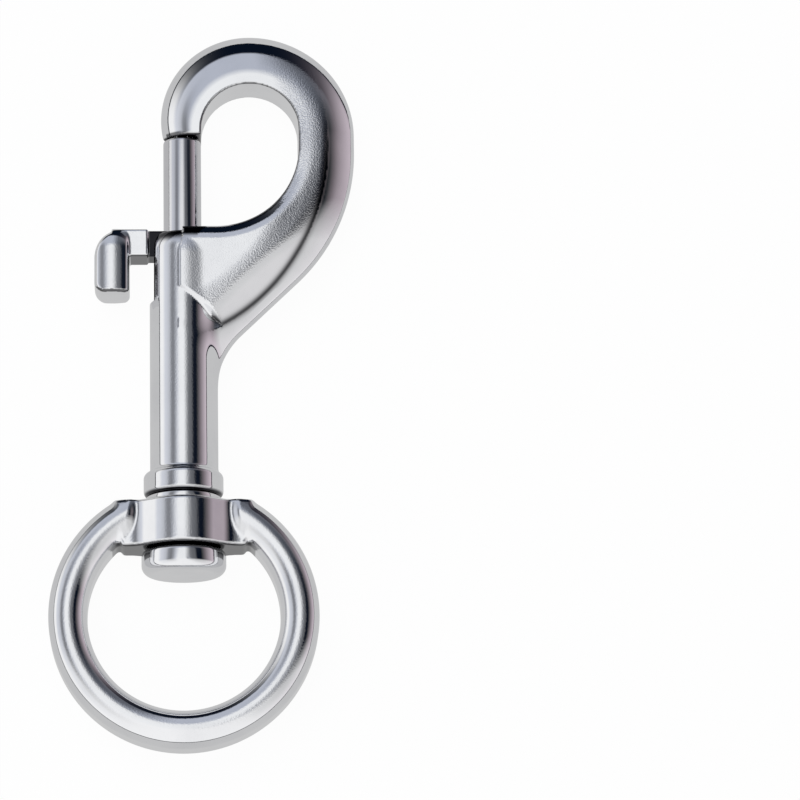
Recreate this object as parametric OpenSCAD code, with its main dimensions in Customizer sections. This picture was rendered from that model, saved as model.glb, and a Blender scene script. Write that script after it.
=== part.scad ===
// Swivel snap hook with a sliding bolt, lying on its back, in millimetres.
// The barrel runs along Y, the bow is at +Y, the eye at -Y and the front faces +Z.

/* [Barrel] */
// Outside diameter of the barrel
barrel_d = 8.7; // [8.2:0.1:9.5]
// Length of the barrel from its swivel face to the mouth of its bore
barrel_len = 35.5; // [34:0.5:38]
// Diameter of the bore that the bolt slides in
bore_d = 5.1; // [4.9:0.05:5.3]
// Diameter of the collar at the foot of the barrel
collar_d = 10.4; // [9.8:0.1:11]
// Height of the collar
collar_h = 3.1; // [2.6:0.1:4]
// Bevel round the mouth of the barrel
mouth_bevel = 0.7; // [0.4:0.1:1]
// Bevel above and below the collar
collar_bevel = 0.6; // [0.3:0.1:0.8]

/* [Bow] */
// Clear gap in the bow, from the barrel to the end of the tip
gate_gap = 13.4; // [12:0.2:15]
// Radius of the inside of the bow at its top
bow_in_r = 6.45; // [6:0.05:7]
// Radius of the outside of the bow on the side of the tip
bow_tip_r = 11.8; // [11.2:0.1:12.6]
// Width of the tip where it meets the bolt
tip_w = 5.1; // [4.9:0.1:5.6]
// Width of the bow at its far side
bow_side_w = 7.45; // [7:0.05:7.8]
// Straight stretch between the upper and the lower curves of the bow
bow_straight = 2.3; // [1:0.1:3]
// Radius of the inside of the bow as it comes down to the barrel
bow_low_r = 11.1; // [10.6:0.1:11.6]
// Radius of the outside of the bow as it comes down to the barrel
bow_side_r = 25; // [23:0.5:26]
// Radius of the hollow corner between the bow and the barrel
throat_r = 10.9; // [9:0.1:12]
// Height on the barrel at which that hollow corner ends
throat_y = 14.1; // [13:0.1:15]
// Depth of the bow from front to back
bow_depth = 6.2; // [5.6:0.1:6.8]
// Radius of the bow's edges
bow_edge_r = 2.2; // [1.6:0.1:2.6]
// Height by which the front and the back of the bow are domed
crown = 0.1; // [0:0.05:0.2]

/* [Shield] */
// Depth of the raised shield from front to back, where it joins the barrel
shield_depth = 8.3; // [7.6:0.1:8.5]
// Width of the low band between the shield's ridge and the outside of the bow
band_w = 3.6; // [3:0.1:4]
// Radius of the shield's ridge
ridge_r = 28.6; // [27:0.2:30]
// Height on the barrel at which the shield's lower edge starts
shield_foot_y = 26.6; // [25.6:0.2:28]
// Slope of the shield's lower edge, in degrees
shield_slope = 36; // [30:1:42]

/* [Bolt and lever] */
// Diameter of the bolt
bolt_d = 5; // [4.8:0.05:5.1]
// Length of the bolt inside the barrel when the gate is closed
bolt_guide = 11.5; // [9:0.5:14]
// Diameter of the nose that enters the tip
nose_d = 3.6; // [3.2:0.1:3.9]
// Length of that nose
nose_len = 1.3; // [1:0.1:1.6]
// Bevel at the ends of the bolt and of its nose
bolt_bevel = 0.35; // [0.2:0.05:0.45]
// Travel of the bolt
travel = 6; // [4:0.5:7]
// Height of the lever's arm along the barrel
arm_h = 3.7; // [3.2:0.1:4.2]
// Depth of the lever's arm from front to back
arm_depth = 4.6; // [3.8:0.1:5]
// Bevel along the arm's edges
arm_bevel = 0.3; // [0.2:0.05:0.5]
// Width of the slot in the barrel's side
slot_w = 4.6; // [4:0.1:4.8]
// Depth of the lever's root, which runs in the slot
root_depth = 3.6; // [3:0.1:3.9]
// How far the top of the arm stands above the barrel
arm_rise = 0.5; // [0.2:0.1:1]
// Clear gap between the barrel and the thumb tab
finger_gap = 2.65; // [2:0.05:4]
// Width of the thumb tab
tab_w = 4.6; // [4:0.1:5.5]
// Length of the thumb tab along the barrel
tab_len = 8.8; // [8:0.1:11]
// Depth of the thumb tab from front to back
tab_depth = 6.4; // [5.4:0.1:7]
// Radius of the tab's outer top corner
tab_top_r = 3.9; // [3:0.1:4]
// Radius of the tab's other corners
tab_corner_r = 1.1; // [0.6:0.1:1.4]
// Bevel round the tab's front and back
tab_bevel = 0.5; // [0.3:0.1:0.8]
// Diameter of the lever's tang in the bolt
tang_d = 2.6; // [2.2:0.1:3]

/* [Spring] */
// Outside diameter of the spring
spring_d = 4.6; // [4.2:0.1:4.8]
// Diameter of the spring's wire
wire_d = 0.6; // [0.4:0.05:0.7]
// Number of turns
turns = 10; // [8:1:12]

/* [Swivel] */
// Length of the stud's shank that is fixed in the barrel
plug_len = 5; // [4:0.5:7]
// Diameter of the stud's head
head_d = 11; // [10:0.1:11.6]
// Height of the stud's head
head_h = 3.2; // [2.4:0.1:3.6]
// Rounding of the stud's head
head_round = 1.2; // [0.8:0.1:1.4]
// Thickness of the washer
washer_t = 0.7; // [0.5:0.05:1]
// Diameter of the washer
washer_d = 9.8; // [9:0.1:10.4]

/* [Eye] */
// Inside diameter of the eye
eye_d = 25; // [24:0.5:26.5]
// Width of the ring's section
ring_w = 5; // [4.5:0.1:5.4]
// Depth of the ring's section from front to back
ring_depth = 8; // [7:0.1:8.2]
// Height of the hub along the swivel
hub_h = 6.1; // [5.6:0.1:6.8]
// Distance from the hub's top to the middle of the eye
eye_drop = 15; // [14.4:0.1:15.4]
// Depth of the hub's ears from front to back
ear_depth = 8.3; // [8:0.1:8.8]
// Bevel along the ears' edges
ear_bevel = 0.6; // [0.4:0.1:0.8]
// Lean of the ears' ends, in degrees
ear_lean = 8; // [4:1:12]
// Diameter of the hub's boss
boss_d = 12.6; // [12:0.1:13.4]
// Bevel round the top of the boss
boss_bevel = 0.8; // [0.5:0.1:1]
// Width at which the flanks leave the front of the boss
flank_in_w = 4.3; // [4:0.1:5]
// Width at which the flanks reach the ears
flank_out_w = 14.6; // [14:0.1:15.4]
// Depth of the flanks from front to back, next to the boss
flank_depth = 11.3; // [10.8:0.1:11.6]

/* [Clearances] */
// Clearance all round a piece that turns or slides
run_gap = 0.07; // [0.05:0.01:0.1]
// Clearance between faces that pass each other
face_gap = 0.15; // [0.1:0.05:0.25]

/* [Hidden] */
$fn = 64;
cut = 1;

// Places along the barrel, from its swivel face upwards
tip_y = barrel_len + gate_gap;
bolt_top_y = tip_y - face_gap;
bolt_foot_y = barrel_len - bolt_guide;
arm_top_y = barrel_len + arm_rise;
arm_foot_y = arm_top_y - arm_h;
root_inset = 0.1;
root_foot_y = arm_foot_y + root_inset;
slot_foot_y = root_foot_y - travel - face_gap;
arm_mid_y = arm_top_y - arm_h / 2;
tang_reach = sqrt(pow(bolt_d, 2) - pow(tang_d, 2)) / 2 - face_gap;

// Places below the swivel face
washer_top_y = -face_gap / 3;
hub_top_y = washer_top_y - washer_t - face_gap;
hub_foot_y = hub_top_y - hub_h;
head_top_y = hub_foot_y - face_gap;
eye_y = hub_top_y - eye_drop;
ring_out_r = eye_d / 2 + ring_w;
ear_reach = sqrt(pow(ring_out_r, 2) - pow(eye_drop, 2));

// Centres of the bow's arcs
lift = 0.6; // height of the shield's top above the mouth of the barrel
bow_low_y = barrel_len + lift + bow_low_r;
bow_in_y = bow_low_y + bow_straight;
tip_in_x = tip_w / 2;
bow_in_x = tip_in_x + bow_in_r;
bow_in_side = bow_in_x + bow_in_r;
bow_out_side = bow_in_side + bow_side_w;
bow_low_x = bow_in_side - bow_low_r;
bow_side_x = bow_out_side - bow_side_r;
bow_out_r = bow_out_side - bow_in_x;
bow_top_y = bow_in_y + bow_out_r;
bow_tip_y = bow_top_y - bow_tip_r;
throat_x = barrel_d / 2 + throat_r;
ridge_x = bow_out_side - band_w - ridge_r;
tip_drop = bow_tip_y - tip_y;

// The whole stands on the middle of its box
half_depth = boss_d / 2;
tab_out_x = barrel_d / 2 + finger_gap + tab_w;
left_x = -max(tab_out_x, ring_out_r);
right_x = max(bow_out_side, ring_out_r);
foot_y = eye_y - ring_out_r;
middle = [-(left_x + right_x) / 2, -(foot_y + bow_top_y) / 2, half_depth];

// Common tangent of the bow's outer side and the hollow corner
tangent_run = [throat_x - bow_side_x, throat_y - bow_low_y];
tangent_turn = acos((bow_side_r + throat_r) / norm(tangent_run));
tangent_a = atan2(tangent_run[1], tangent_run[0]) + tangent_turn;

function arc_point(x, y, r, a) = [x + r * cos(a), y + r * sin(a)];
function mix(a, b, t) = a + (b - a) * t;
function ease(t) = t < 0 ? 0 : t > 1 ? 1 : t * t * (3 - 2 * t);

// Along a section, the share of its width at which it crosses the ridge
function ridge_share(a, b) =
    let (d = b - a, f = a - [ridge_x, bow_low_y],
         p = d * f, q = d * d, k = f * f - ridge_r * ridge_r,
         root = p * p - q * k)
    root < 0 ? 1 : (-p + sqrt(root)) / q;

// Along a section, the share at which it crosses the shield's lower edge
function foot_share(a, b) =
    let (n = [sin(shield_slope), cos(shield_slope)], d = b - a)
    ([0, shield_foot_y] - a) * n / (d * n);

// Points round one section: inner edge, shield, ridge, band and outer edge, as [across, up]
edge_steps = 4;
step_w = 0.7;
edge_share = 0.4;
function half_section(w, m, step, h_in, h_out, r) = concat(
    [for (i = [0 : edge_steps])
        let (a = 90 * i / edge_steps)
        [r * (1 - cos(a)), h_in - r + r * sin(a)]],
    [for (p = [[mix(r, m - step / 2, 1 - edge_share), h_in],
               [m - step / 2, h_in],
               [m, mix(h_in, h_out, 0.5)],
               [m + step / 2, h_out],
               [mix(m + step / 2, w - r, edge_share), h_out]])
        [p[0], p[1] + crown * sin(180 * (p[0] - r) / (w - 2 * r))]],
    [for (i = [0 : edge_steps])
        let (a = 90 - 90 * i / edge_steps)
        [w - r + r * cos(a), h_out - r + r * sin(a)]]);

// The section between a point inside the bow and one outside it, alike front and back
function section(a, b, share, h_in, h_out) =
    let (w = norm(b - a), dir = (b - a) / w,
         r = min(bow_edge_r, w * edge_share),
         step = min(step_w, (w - 2 * r) / 3),
         m = max(r + step, min(w * share, w - r - step)),
         half = half_section(w, m, step, h_in, h_out, r),
         n = len(half))
    concat([for (p = half) [a[0] + dir[0] * p[0], a[1] + dir[1] * p[0], -p[1]]],
           [for (i = [n - 1 : -1 : 0])
               let (p = half[i])
               [a[0] + dir[0] * p[0], a[1] + dir[1] * p[0], p[1]]]);

// Half depths of the shield and of the band beside it, from the tip round to the barrel
bow_half = bow_depth / 2;
shield_half = shield_depth / 2;
side_share = 0.45;
shield_mid = mix(bow_half, shield_half, side_share);
share_mid = 0.5;
fade = 0.55;

// From the tip over the top
over_steps = 12;
over_top = [for (i = [0 : over_steps])
    let (t = i / over_steps,
         a_in = mix(180 + asin((bow_in_y - tip_y) / bow_in_r), 90, t),
         a_out = mix(180 + asin(tip_drop / bow_tip_r), 90, t),
         p = arc_point(bow_in_x, bow_in_y, bow_in_r, a_in),
         q = arc_point(bow_in_x, bow_tip_y, bow_tip_r, a_out))
    section(p, q, share_mid, bow_half, bow_half)];

// From the top down the far side
side_steps = 12;
down_side = [for (i = [1 : side_steps])
    let (t = i / side_steps, a = 90 - 90 * t,
         p = arc_point(bow_in_x, bow_in_y, bow_in_r, a),
         q = arc_point(bow_in_x, bow_in_y, bow_out_r, a),
         rise = ease((t - fade) / (1 - fade)))
    section(p, q, mix(share_mid, 1 - band_w / bow_side_w, rise),
            mix(bow_half, shield_mid, rise), bow_half)];

// From the far side down to the barrel
low_steps = 14;
down_low = [for (i = [0 : low_steps])
    let (t = i / low_steps,
         p = arc_point(bow_low_x, bow_low_y, bow_low_r, -90 * t),
         q = arc_point(bow_side_x, bow_low_y, bow_side_r, tangent_a * t))
    section(p, q, ridge_share(p, q), mix(shield_mid, shield_half, ease(t)), bow_half)];

// Through the hollow corner, with the inner side inside the barrel
root_x = 0.6;
root_y = throat_y + 0.4;
root_haste = 3;
root_steps = 12;
line_steps = 4;
tangent_from = arc_point(bow_side_x, bow_low_y, bow_side_r, tangent_a);
tangent_to = arc_point(throat_x, throat_y, throat_r, 180 + tangent_a);
into_barrel = [for (i = [1 : root_steps])
    let (t = i / root_steps,
         s = i / line_steps,
         u = (i - line_steps) / (root_steps - line_steps),
         q = s <= 1 ? mix(tangent_from, tangent_to, s)
                    : arc_point(throat_x, throat_y, throat_r, mix(180 + tangent_a, 180, u)),
         p = [mix(bow_low_x, root_x, ease(t * root_haste)),
              mix(barrel_len + lift, root_y, ease(t))],
         share = min(ridge_share(p, q), foot_share(p, q)),
         cover = share * norm(q - p) / (bow_edge_r + step_w))
    section(p, q, share, mix(bow_half, shield_half, ease(cover)), bow_half)];

bow_rings = concat(over_top, down_side, down_low, into_barrel);

module along_y(y = 0) {
    translate([0, y, 0])
        rotate([-90, 0, 0])
            children();
}

module skin(rings) {
    n = len(rings[0]);
    last = len(rings) - 1;
    polyhedron(
        points = [for (ring = rings, p = ring) p],
        faces = concat(
            [[for (j = [0 : n - 1]) j]],
            [for (i = [0 : last - 1], j = [0 : n - 1])
                let (k = (j + 1) % n)
                [i * n + j, (i + 1) * n + j, (i + 1) * n + k]],
            [for (i = [0 : last - 1], j = [0 : n - 1])
                let (k = (j + 1) % n)
                [i * n + j, (i + 1) * n + k, i * n + k]],
            [[for (j = [n - 1 : -1 : 0]) last * n + j]]));
}

module barrel() {
    r = barrel_d / 2;
    c = collar_d / 2;
    along_y()
        rotate_extrude()
            polygon([
                [0, 0], [c - collar_bevel, 0], [c, collar_bevel], [c, collar_h - collar_bevel],
                [r, collar_h + collar_bevel / 2], [r, barrel_len - mouth_bevel],
                [r - mouth_bevel, barrel_len], [0, barrel_len]]);
}

// The slot is open at the mouth and round at its foot
module lever_slot() {
    reach = barrel_d / 2 + cut;
    translate([-reach, 0, 0])
        rotate([90, 0, 90])
            linear_extrude(reach) {
                translate([slot_foot_y + slot_w / 2, -slot_w / 2])
                    square([barrel_len + cut - slot_foot_y - slot_w / 2, slot_w]);
                translate([slot_foot_y + slot_w / 2, 0])
                    circle(d = slot_w);
            }
}

module hook_body() {
    color([0.78, 0.79, 0.82])
        difference() {
            union() {
                barrel();
                skin(bow_rings);
            }
            along_y(-cut)
                cylinder(d = bore_d, h = barrel_len + lift + 2 * cut);
            along_y(tip_y - cut)
                cylinder(d = nose_d + 2 * face_gap, h = nose_len + face_gap + cut);
            lever_slot();
        }
}

module bolt_pin() {
    r = bolt_d / 2;
    nose_r = nose_d / 2;
    top = bolt_top_y - bolt_foot_y;
    end = top + nose_len;
    color([0.72, 0.72, 0.74])
        difference() {
            along_y(bolt_foot_y)
                rotate_extrude()
                    polygon([
                        [0, 0], [r - bolt_bevel, 0], [r, bolt_bevel],
                        [r, top - bolt_bevel], [r - bolt_bevel, top], [nose_r, top],
                        [nose_r, end - bolt_bevel], [nose_r - bolt_bevel, end], [0, end]]);
            translate([-bolt_d, arm_mid_y, 0])
                rotate([0, 90, 0])
                    cylinder(d = tang_d, h = bolt_d + tang_reach);
        }
}

// Outline of the tab, seen from the front, drawn smaller by an inset all round
module tab_outline(inset) {
    x_out = -tab_out_x + inset;
    x_in = -tab_out_x + tab_w - inset;
    top = arm_top_y - inset;
    foot = arm_top_y - tab_len + inset;
    r = tab_corner_r;
    big = min(tab_top_r, tab_w - 2 * tab_bevel) - inset;
    polygon(concat(
        [for (a = [180 : 15 : 270]) arc_point(x_out + r, foot + r, r, a)],
        [for (a = [270 : 15 : 360]) arc_point(x_in - r, foot + r, r, a)],
        [[x_in, top]],
        [for (a = [90 : 10 : 180]) arc_point(x_out + big, top - big, big, a)]));
}

// Rectangle with its four corners cut off, between two heights
module bevelled(from, to, half, bevel) {
    polygon([
        [from, -half + bevel], [from + bevel, -half], [to - bevel, -half], [to, -half + bevel],
        [to, half - bevel], [to - bevel, half], [from + bevel, half], [from, half - bevel]]);
}

// Square arm between the tab and the barrel, with its edges eased
module arm() {
    near = barrel_d / 2 + face_gap;
    half = arm_depth / 2;
    translate([-near - finger_gap - cut, 0, 0])
        rotate([90, 0, 90])
            linear_extrude(finger_gap + cut)
                bevelled(arm_foot_y, arm_top_y, half, arm_bevel);
}

// The root is round at its foot, as the slot is, and hollowed to sit on the bolt
module lever_root() {
    reach = barrel_d / 2 + finger_gap / 2;
    difference() {
        translate([-reach, 0, 0])
            rotate([90, 0, 90])
                linear_extrude(reach) {
                    translate([root_foot_y + root_depth / 2, -root_depth / 2])
                        square([arm_h - 2 * root_inset - root_depth / 2, root_depth]);
                    translate([root_foot_y + root_depth / 2, 0])
                        circle(d = root_depth);
                }
        along_y()
            cylinder(d = bolt_d, h = tip_y);
    }
}

module thumb_lever() {
    color([0.82, 0.83, 0.85]) {
        translate([0, 0, -tab_depth / 2 + tab_bevel])
            linear_extrude(tab_depth - 2 * tab_bevel)
                tab_outline(0);
        translate([0, 0, -tab_depth / 2])
            linear_extrude(tab_depth)
                tab_outline(tab_bevel);
        arm();
        lever_root();
        translate([-barrel_d / 2, arm_mid_y, 0])
            rotate([0, 90, 0])
                cylinder(d = tang_d, h = barrel_d / 2 + tang_reach);
    }
}

// A closed coil of round wire between two heights
module coil(d, wire, n, from, to) {
    sides = 8;
    per_turn = 16;
    steps = n * per_turn;
    r = (d - wire) / 2;
    rise = (to - from - wire) / steps;
    rings = [for (i = [0 : steps])
        let (a = 360 * i / per_turn)
        [for (j = [0 : sides - 1])
            let (b = 360 * j / sides, q = r + wire / 2 * cos(b))
            [q * cos(a), q * sin(a), from + wire / 2 + rise * i + wire / 2 * sin(b)]]];
    skin(rings);
}

module bolt_spring() {
    color([0.55, 0.56, 0.58])
        along_y()
            coil(spring_d, wire_d, turns, plug_len, bolt_foot_y);
}

module swivel_stud() {
    r = head_d / 2;
    color([0.80, 0.81, 0.84]) {
        along_y(head_top_y)
            cylinder(d = bore_d, h = plug_len - head_top_y);
        along_y(head_top_y - head_h)
            rotate_extrude()
                polygon(concat(
                    [[0, 0]],
                    [for (a = [-90 : 18 : 0]) arc_point(r - head_round, head_round, head_round, a)],
                    [for (a = [0 : 18 : 90])
                        arc_point(r - head_round / 2, head_h - head_round / 2, head_round / 2, a)],
                    [[0, head_h]]));
    }
}

module swivel_washer() {
    color([0.86, 0.86, 0.87])
        along_y(washer_top_y - washer_t)
            difference() {
                cylinder(d = washer_d, h = washer_t);
                translate([0, 0, -cut])
                    cylinder(d = bore_d + 2 * run_gap, h = washer_t + 2 * cut);
            }
}

// Section of the ring, centred on its own middle, with a round front and back and flat sides
ring_steps = 96;
function oblong(w, h) =
    let (r = w / 2, rise = h / 2 - r)
    concat([for (a = [0 : 15 : 180]) arc_point(0, rise, r, a)],
           [for (a = [180 : 15 : 360]) arc_point(0, -rise, r, a)]);

// The ring is cut off level with the top of the hub
module ring() {
    difference() {
        translate([0, eye_y, 0])
            rotate_extrude($fn = ring_steps)
                translate([eye_d / 2 + ring_w / 2, 0])
                    polygon(oblong(ring_w, ring_depth));
        translate([-ring_out_r, hub_top_y, -ring_depth])
            cube([2 * ring_out_r, ring_out_r, 2 * ring_depth]);
    }
}

// The two ears reach out to where the ring meets the hub's top, and narrow downwards
module ears() {
    foot_reach = ear_reach - hub_h * tan(ear_lean);
    intersection() {
        linear_extrude(ear_depth, center = true)
            polygon([
                [-foot_reach, hub_foot_y], [foot_reach, hub_foot_y],
                [ear_reach, hub_top_y], [-ear_reach, hub_top_y]]);
        translate([-ring_out_r, 0, 0])
            rotate([90, 0, 90])
                linear_extrude(2 * ring_out_r)
                    bevelled(hub_foot_y, hub_top_y, ear_depth / 2, ear_bevel);
    }
}

// Sloping flanks between the boss and the ears
module flanks() {
    inset = ear_bevel / 2;
    inner = flank_in_w / 2;
    outer = flank_out_w / 2;
    crest = flank_depth / 2;
    ear = ear_depth / 2 - inset;
    along_y(hub_foot_y + inset)
        linear_extrude(hub_h - 2 * inset)
            polygon([
                [-outer, -ear], [-inner, -crest], [inner, -crest], [outer, -ear],
                [outer, ear], [inner, crest], [-inner, crest], [-outer, ear]]);
}

module boss() {
    r = boss_d / 2;
    foot_bevel = boss_bevel / 2;
    along_y(hub_foot_y)
        rotate_extrude()
            polygon([
                [0, 0], [r - foot_bevel, 0], [r, foot_bevel], [r, hub_h - boss_bevel],
                [r - boss_bevel, hub_h], [0, hub_h]]);
}

module eye_ring() {
    color([0.76, 0.77, 0.80])
        difference() {
            union() {
                ring();
                ears();
                flanks();
                boss();
            }
            along_y(hub_foot_y - cut)
                cylinder(d = bore_d + 2 * run_gap, h = hub_h + 2 * cut);
        }
}

module in_place() {
    translate(middle)
        children();
}

in_place() hook_body();
in_place() bolt_pin();
in_place() thumb_lever();
in_place() bolt_spring();
in_place() swivel_stud();
in_place() swivel_washer();
in_place() eye_ring();
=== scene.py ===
"""Swivel snap hook with a sliding bolt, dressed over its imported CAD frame.

The pieces are rebuilt as smooth skins of blended solids, in metres, in the frame of the CAD model.
"""

import math

import bpy
import numpy as np
from bpy.props import FloatProperty, FloatVectorProperty, IntProperty, PointerProperty
from mathutils import Matrix, Vector


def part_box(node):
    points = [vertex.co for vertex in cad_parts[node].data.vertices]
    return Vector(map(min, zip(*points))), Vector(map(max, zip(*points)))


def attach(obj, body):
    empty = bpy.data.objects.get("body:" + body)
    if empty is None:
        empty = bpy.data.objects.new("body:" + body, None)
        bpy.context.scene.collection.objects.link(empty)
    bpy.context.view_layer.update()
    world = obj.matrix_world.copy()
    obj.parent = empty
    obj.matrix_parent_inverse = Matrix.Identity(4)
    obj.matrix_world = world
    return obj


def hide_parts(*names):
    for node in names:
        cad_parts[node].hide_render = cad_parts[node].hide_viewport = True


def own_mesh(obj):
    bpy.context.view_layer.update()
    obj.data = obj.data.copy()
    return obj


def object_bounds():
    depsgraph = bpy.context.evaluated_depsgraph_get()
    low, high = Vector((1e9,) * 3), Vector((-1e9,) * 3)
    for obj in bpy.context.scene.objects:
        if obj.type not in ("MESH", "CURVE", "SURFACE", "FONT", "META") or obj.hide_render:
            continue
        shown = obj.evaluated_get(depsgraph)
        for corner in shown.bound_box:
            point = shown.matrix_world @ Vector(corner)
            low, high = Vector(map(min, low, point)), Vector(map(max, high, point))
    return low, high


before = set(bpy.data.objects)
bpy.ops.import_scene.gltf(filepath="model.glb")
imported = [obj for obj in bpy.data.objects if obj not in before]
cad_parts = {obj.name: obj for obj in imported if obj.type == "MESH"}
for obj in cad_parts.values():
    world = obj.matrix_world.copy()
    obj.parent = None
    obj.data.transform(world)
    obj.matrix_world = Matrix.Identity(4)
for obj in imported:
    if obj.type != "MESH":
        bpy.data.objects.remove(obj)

bl_info = {
    "name": "Swivel Snap Hook",
    "version": (1, 0, 0),
    "blender": (4, 5, 0),
    "location": "View3D > Sidebar > Snap Hook",
    "description": "Builds a plated swivel snap hook with its bolt, lever, spring, stud and eye",
    "category": "Object",
}

MM = 0.001
CAD_BOX = [list(corner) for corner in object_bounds()]

# The pieces are worked out about the barrel's axis, from its swivel face up
STUD_LOW, STUD_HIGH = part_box("swivel_stud")
BOLT_LOW, BOLT_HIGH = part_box("bolt_pin")
SPRING_LOW, SPRING_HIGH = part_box("bolt_spring")
WASHER_LOW, WASHER_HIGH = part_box("swivel_washer")
AXIS_X = (STUD_LOW.x + STUD_HIGH.x) / 2
AXIS_Z = (STUD_LOW.z + STUD_HIGH.z) / 2
FACE_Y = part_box("hook_body")[0].y

# Cells of the nets in which the skins are found
HOOK_CELL = 0.21 * MM
EYE_CELL = 0.25 * MM
LEVER_CELL = 0.14 * MM

# Angles round the bow in radians, 0 at its far side and less than 0 towards the barrel: the
# shield's own face sets in between the first two, and its ridge has its full height below the last
FACE_FROM = 0.11
FACE_TO = -0.99
RIDGE_FULL = 0.1


def place(name, value_mm, description, **limits):
    """A position in metres, whose default is given in millimetres; it may be negative."""
    return FloatProperty(
        name=name,
        description=description,
        default=value_mm * MM,
        unit="LENGTH",
        subtype="DISTANCE",
        precision=5,
        **limits,
    )


def length(name, value_mm, description):
    """A size in metres, whose default is given in millimetres."""
    return place(name, value_mm, description, min=0.0)


def share(name, value, description):
    return FloatProperty(name=name, description=description, default=value, min=0.0, max=1.0)


def angle(name, degrees, description):
    return FloatProperty(
        name=name,
        description=description,
        default=math.radians(degrees),
        unit="ROTATION",
        subtype="ANGLE",
    )


def colour(name, value, description):
    return FloatVectorProperty(
        name=name,
        description=description,
        default=value,
        size=len(value),
        min=0.0,
        max=1.0,
        subtype="COLOR",
    )


class BarrelSizes(bpy.types.PropertyGroup):
    barrel_d: length("Barrel", 8.7, "Outside diameter of the barrel")
    barrel_len: length("Barrel length", 35.5, "From the swivel face to the mouth of the bore")
    mouth_round: length("Mouth rounding", 0.3, "Rounding round the mouth of the barrel")
    mouth_h: length("Shoulder", 2.2, "Height over which the barrel narrows to its mouth")
    mouth_r: length("Shoulder radius", 3.4, "Radius of that shoulder")
    bore_d: length("Bore", 5.1, "Diameter of the bore that the bolt slides in")
    bore_foot: length("Bore foot", 4.6, "Height at which the open bore starts, above the stud")
    collar_d: length("Collar", 10.4, "Outside diameter of the collar")
    collar_h: length("Collar height", 3.3, "Height of the collar")
    collar_round: length("Collar rounding", 0.8, "Rounding above and below the collar")
    collar_fillet: length("Collar fillet", 0.5, "Fillet between the collar and the barrel")
    slot_w: length("Slot", 4.0, "Width of the lever's slot")
    slot_foot: length("Slot foot", 26.25, "Height of the slot's lower end")
    slot_round: length("Slot corners", 0.3, "Radius of the slot's lower corners")
    edge_round: length("Slot edge", 0.15, "Rounding of the edges of the slot and the bore")


class BowSizes(bpy.types.PropertyGroup):
    tip_y: length("Tip", 48.9, "Height of the end of the tip")
    tip_w: length("Tip width", 5.1, "Width of the tip where it meets the bolt")
    tip_round: length("Tip rounding", 0.35, "Rounding round the end of the tip")
    nose_hole_d: length("Nose hole", 3.9, "Diameter of the hole for the bolt's nose")
    nose_hole_len: length("Nose hole depth", 1.45, "Depth of the hole for the bolt's nose")
    in_r: length("Inner top radius", 6.45, "Radius of the inside of the bow at its top")
    out_r: length("Outer radius", 13.9, "Radius of the outside of the bow on its far side")
    tip_r: length("Tip side radius", 11.8, "Radius of the outside of the bow on the tip's side")
    straight: length("Straight", 2.3, "Straight stretch between the upper and lower curves")
    low_r: length("Inner low radius", 11.1, "Radius of the inside of the bow near the barrel")
    side_r: length("Outer low radius", 25.0, "Radius of the outside of the bow near the barrel")
    throat_r: length("Throat radius", 10.9, "Radius of the hollow corner below the bow")
    throat_y: length("Throat", 14.1, "Height at which the hollow corner ends on the barrel")
    depth: length("Depth", 6.2, "Depth of the bow from front to back")
    in_edge_r: length("Inner edge", 0.3, "Rounding of the bow's inner edges")
    out_edge_r: length("Outer edge", 0.5, "Rounding of the bow's outer edges")
    crest: length("Crest", 1.2, "From the inner edge to the highest line of the face")
    face_r: length("Face radius", 9.1, "Radius of the face across the bow, near its crest")
    face_fall: length("Outer fall", 0.55, "Further fall of the face at the bow's outer edge")
    blend: length("Blend", 0.8, "Blend between the bow and the barrel")


class ShieldSizes(bpy.types.PropertyGroup):
    top_y: length("Top", 36.1, "Height of the shield's top edge")
    depth: length("Depth", 8.6, "Depth of the shield from front to back at the barrel")
    ridge_x: place("Ridge centre across", -9.22, "Centre of the ridge's arc, across")
    ridge_y: place("Ridge centre up", 47.4, "Centre of the ridge's arc, up the barrel")
    ridge_r: length("Ridge radius", 28.6, "Radius of the ridge's arc")
    foot_y: length("Foot", 26.6, "Height on the barrel at which the lower edge starts")
    foot_slope: angle("Foot slope", 36, "Slope of the shield's lower edge")
    step_h: length("Step", 0.12, "How far the face steps down towards the ridge")
    step_from: length("Step foot", 0.4, "From the ridge to the lower end of the step")
    step_to: length("Step top", 2.4, "From the ridge to the upper end of the step")
    lip_w: length("Lip", 0.8, "Width of the sloping edge beside the opening")
    lip_ease: length("Lip easing", 1.3, "Width over which the face turns into that slope")
    lip_slope: angle("Lip slope", 32, "Slope of that edge")
    fall_from: length("Fall start", 5.6, "From the ridge to where the face starts to fall towards it")
    fall_ease: length("Fall easing", 1.8, "Width over which the face turns into that fall")
    fall_slope: angle("Fall slope", 9.5, "Slope of that fall")
    wall: angle("Wall", 36, "Slope of the wall that rises from the ridge line to the face")
    foot_wall: angle("Foot wall", 67, "Slope of the wall along the shield's lower edge")
    brow: length("Brow", 0.5, "Rounding between that wall and the face")
    crease: length("Crease", 0.2, "Rounding in the crease beside the shield")
    fade_from: angle("Fade end", 50, "Angle round the bow at which the ridge has faded out")
    fade_to: angle("Full depth", -75, "Angle round the bow at which the shield is at full depth")
    band_rim: length("Band rim", 0.6, "Half the thickness of the outer band at its rim")
    band_slope: angle("Band slope", 43, "Slope of the outer band at its rim")
    band_root: angle("Band root", 27, "Slope of the outer band beside the ridge")


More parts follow.
